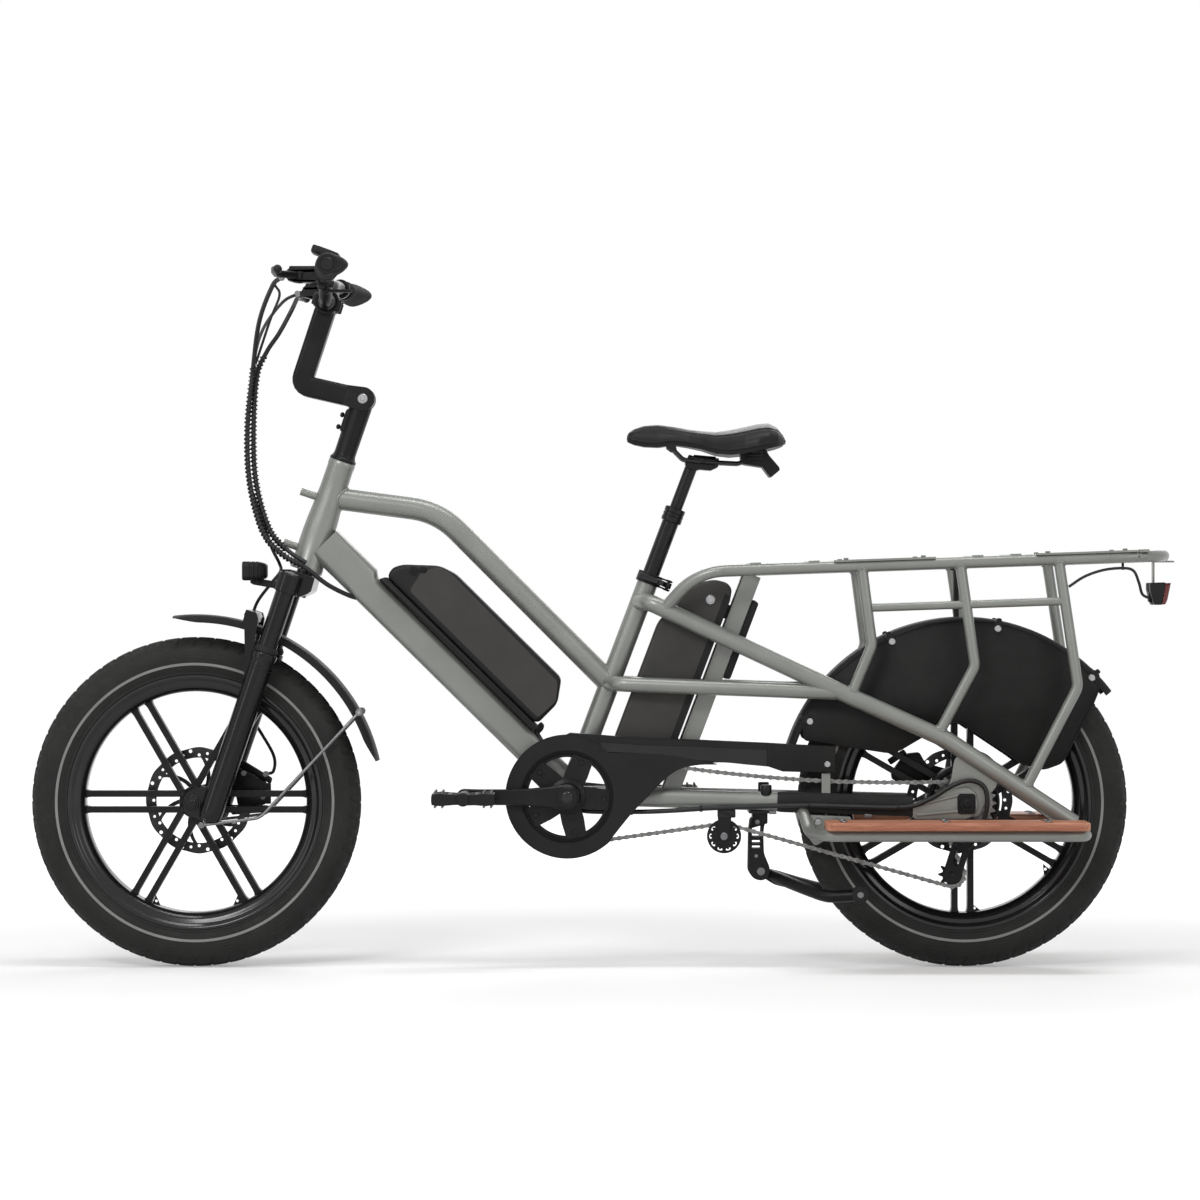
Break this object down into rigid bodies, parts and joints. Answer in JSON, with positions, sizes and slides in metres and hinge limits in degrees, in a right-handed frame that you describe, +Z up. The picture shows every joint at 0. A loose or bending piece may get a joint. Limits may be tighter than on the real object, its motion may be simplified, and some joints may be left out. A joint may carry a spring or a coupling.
{
  "type": "longtail cargo e-bike",
  "caption": "Longtail cargo e-bike with step-through frame, long rear rack with footboards, two batteries, suspension fork, fat tyres and full mudguards.",
  "frame": {"origin": "on the ground under the middle of the bounding box", "axes": "+X towards the rear wheel, +Y towards the side without the chain, +Z up"},
  "size_m": [1.915, 0.702, 1.1988],
  "materials": {
    "frame_paint": "satin grey green paint",
    "black_plastic": "matte",
    "black_metal": "satin black",
    "battery_casing": "matte dark grey",
    "grip_rubber": "matte",
    "tyre_rubber": "matte tread",
    "bare_steel": "brushed",
    "board_wood": "oiled",
    "saddle_leather": "fine grain",
    "red_lamp": "glossy"
  },
  "bodies": {
    "frame": {"main_frame": "frame_paint", "front_battery_cradle": "black_plastic", "control_box": "black_plastic", "chain_case": "black_plastic", "near_skirt": "black_plastic", "far_skirt": "black_plastic", "rear_fender": "black_plastic", "near_footboard": "board_wood", "far_footboard": "board_wood", "tail_light": "red_lamp", "tail_light_lead": "black_plastic", "kickstand_bracket": "black_plastic", "rear_caliper": "black_metal", "chain": "bare_steel", "idler_bracket": "black_metal", "seat_clamp": "black_metal", "rear_axle": "bare_steel", "derailleur": "black_metal", "rear_cables": "black_plastic"},
    "steering": {"fork_upper": "black_metal", "stem_lower": "black_metal", "headlight": "black_plastic", "cable_bundle": "black_plastic"},
    "bar": {"stem_arm": "black_metal", "handlebar": "black_metal", "near_grip": "grip_rubber", "far_grip": "grip_rubber", "near_brake_housing": "black_plastic", "far_brake_housing": "black_plastic", "display": "black_plastic", "shifter": "black_plastic"},
    "near_lever": {"near_brake_lever": "black_metal"},
    "far_lever": {"far_brake_lever": "black_metal"},
    "paddle": {"shifter_paddle": "black_metal"},
    "fork": {"fork_lower": "black_metal", "front_fender": "black_plastic", "front_caliper": "black_metal"},
    "front_wheel": {"front_wheel": "black_metal", "front_tyre": "tyre_rubber", "front_disc": "black_metal"},
    "rear_wheel": {"rear_wheel": "black_metal", "rear_tyre": "tyre_rubber", "rear_disc": "black_metal"},
    "cassette": {"cassette": "bare_steel"},
    "guide_jockey": {"guide_jockey": "black_plastic"},
    "tension_jockey": {"tension_jockey": "black_plastic"},
    "idler": {"idler_wheel": "black_metal"},
    "crank": {"far_crank_arm": "black_metal", "near_crank_arm": "black_metal", "chainring": "black_metal"},
    "near_pedal": {"near_pedal": "black_plastic"},
    "far_pedal": {"far_pedal": "black_plastic"},
    "kickstand": {"kickstand": "black_plastic"},
    "seat_lever": {"seat_lever": "bare_steel"},
    "seatpost": {"seatpost_lower": "black_metal"},
    "saddle": {"seatpost_upper": "bare_steel", "saddle_base": "black_plastic", "saddle_cover": "saddle_leather"},
    "front_battery": {"front_battery": "battery_casing"},
    "rear_battery": {"rear_battery": "battery_casing"}
  },
  "joints": [
    {"name": "steering", "type": "hinge", "parent": "frame", "child": "steering", "pos_m": [-0.4989, 0, 0.6628], "axis": [0.319, 0, 0.9478], "range_deg": [-40, 40], "deforming": ["cable_bundle"]},
    {"name": "stem_angle", "type": "hinge", "parent": "steering", "child": "bar", "pos_m": [-0.40203, 0, 0.95064], "axis": [0, 1, 0], "range_deg": [0, 25], "deforming": ["cable_bundle"]},
    {"name": "near_brake_pull", "type": "hinge", "parent": "bar", "child": "near_lever", "pos_m": [-0.49435, -0.192, 1.14337], "axis": [0, 0, 1], "range_deg": [0, 20], "stiffness_Nm_per_rad": 0.8, "springref_deg": -17.19},
    {"name": "far_brake_pull", "type": "hinge", "parent": "bar", "child": "far_lever", "pos_m": [-0.49435, 0.192, 1.14337], "axis": [0, 0, -1], "range_deg": [0, 20], "stiffness_Nm_per_rad": 0.8, "springref_deg": -17.19},
    {"name": "shifter_press", "type": "hinge", "parent": "bar", "child": "paddle", "pos_m": [-0.45516, -0.15, 1.14937], "axis": [0, 0, 1], "range_deg": [0, 25], "stiffness_Nm_per_rad": 0.3, "springref_deg": -11.46},
    {"name": "fork_travel", "type": "slide", "parent": "steering", "child": "fork", "axis": [0.319, 0, 0.9478], "range_m": [0, 0.03], "stiffness_N_per_m": 20000, "springref_m": -0.015, "deforming": ["cable_bundle"]},
    {"name": "front_wheel_spin", "type": "hinge", "parent": "fork", "child": "front_wheel", "pos_m": [-0.6815, 0, 0.276], "axis": [0, 1, 0], "continuous": true},
    {"name": "rear_wheel_spin", "type": "hinge", "parent": "frame", "child": "rear_wheel", "pos_m": [0.6025, 0, 0.276], "axis": [0, 1, 0], "continuous": true},
    {"name": "crank_spin", "type": "hinge", "parent": "frame", "child": "crank", "pos_m": [-0.0595, 0, 0.287], "axis": [0, 1, 0], "continuous": true},
    {"name": "cassette_spin", "type": "hinge", "parent": "frame", "child": "cassette", "pos_m": [0.6025, 0, 0.276], "axis": [0, 1, 0], "continuous": true},
    {"name": "guide_spin", "type": "hinge", "parent": "frame", "child": "guide_jockey", "pos_m": [0.5995, 0, 0.214], "axis": [0, 1, 0], "continuous": true},
    {"name": "tension_spin", "type": "hinge", "parent": "frame", "child": "tension_jockey", "pos_m": [0.5815, 0, 0.157], "axis": [0, 1, 0], "continuous": true},
    {"name": "idler_spin", "type": "hinge", "parent": "frame", "child": "idler", "pos_m": [0.2015, 0, 0.221], "axis": [0, 1, 0], "continuous": true},
    {"name": "near_pedal_spin", "type": "hinge", "parent": "crank", "child": "near_pedal", "pos_m": [-0.2295, 0, 0.287], "axis": [0, 1, 0], "continuous": true},
    {"name": "far_pedal_spin", "type": "hinge", "parent": "crank", "child": "far_pedal", "pos_m": [0.1105, 0, 0.287], "axis": [0, 1, 0], "continuous": true},
    {"name": "kickstand_fold", "type": "hinge", "parent": "frame", "child": "kickstand", "pos_m": [0.2645, 0, 0.16], "axis": [0, 1, 0], "range_deg": [0, 50], "stiffness_Nm_per_rad": 4, "springref_deg": -34.38},
    {"name": "seat_lever_open", "type": "hinge", "parent": "frame", "child": "seat_lever", "pos_m": [0.10852, 0, 0.63829], "axis": [0.3535, 0, 0.9354], "range_deg": [0, 60]},
    {"name": "seatpost_height", "type": "slide", "parent": "frame", "child": "seatpost", "axis": [0.3535, 0, 0.9354], "range_m": [-0.06, 0.09]},
    {"name": "seatpost_spring", "type": "slide", "parent": "seatpost", "child": "saddle", "axis": [0.3535, 0, 0.9354], "range_m": [-0.03, 0], "stiffness_N_per_m": 12000, "springref_m": 0.01},
    {"name": "front_battery_off", "type": "slide", "parent": "frame", "child": "front_battery", "axis": [-0.7114, 0, 0.7028], "range_m": [0, 0.06]},
    {"name": "rear_battery_off", "type": "slide", "parent": "frame", "child": "rear_battery", "axis": [0.3535, 0, 0.9354], "range_m": [0, 0.024]}
  ],
  "couplings": [
    {"joint": "cassette_spin", "follows": "crank_spin", "ratio": 2.2222},
    {"joint": "guide_spin", "follows": "crank_spin", "ratio": -4},
    {"joint": "tension_spin", "follows": "crank_spin", "ratio": 4},
    {"joint": "idler_spin", "follows": "crank_spin", "ratio": -4}
  ]
}
